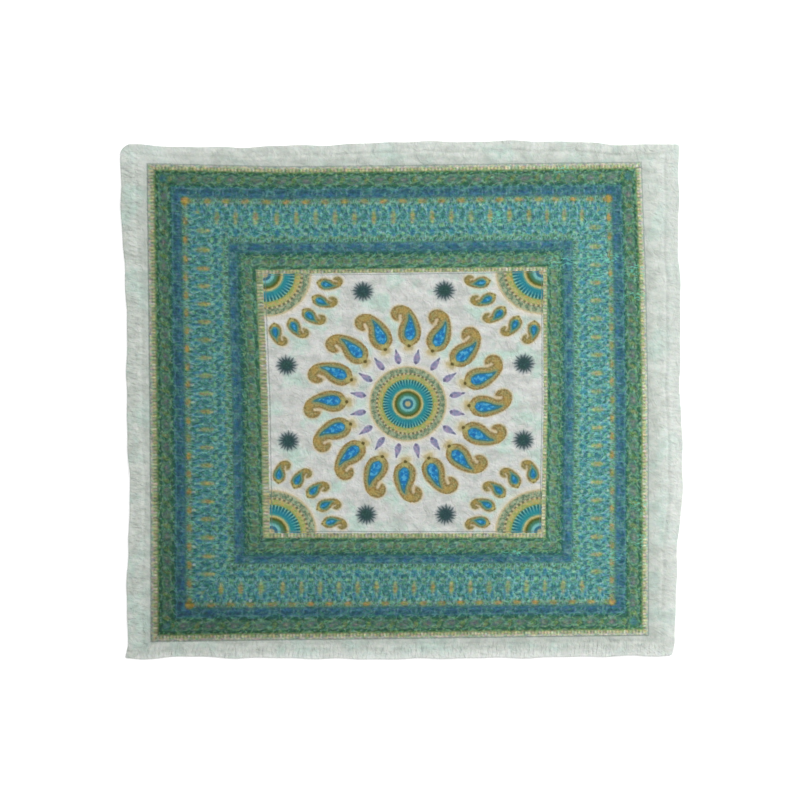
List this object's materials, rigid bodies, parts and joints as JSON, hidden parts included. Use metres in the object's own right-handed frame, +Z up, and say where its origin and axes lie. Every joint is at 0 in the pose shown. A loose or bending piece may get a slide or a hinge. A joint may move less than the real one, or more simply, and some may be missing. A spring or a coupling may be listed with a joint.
{
  "type": "velvet tablecloth",
  "caption": "Flat square velvet table cover with a turned and stitched hem, a paisley centre and broad patterned borders.",
  "frame": {"origin": "on the surface that the cloth lies on, under the middle of its outline", "axes": "+Z up out of the pile, +X along the longer side, +Y along the shorter side, away from the viewer"},
  "size_m": [1.0036, 0.927, 0.003],
  "materials": {
    "printed_velvet": "printed crushed velvet, soft sheen"
  },
  "bodies": {
    "root": {"velvet_cloth": "printed_velvet"}
  },
  "joints": []
}
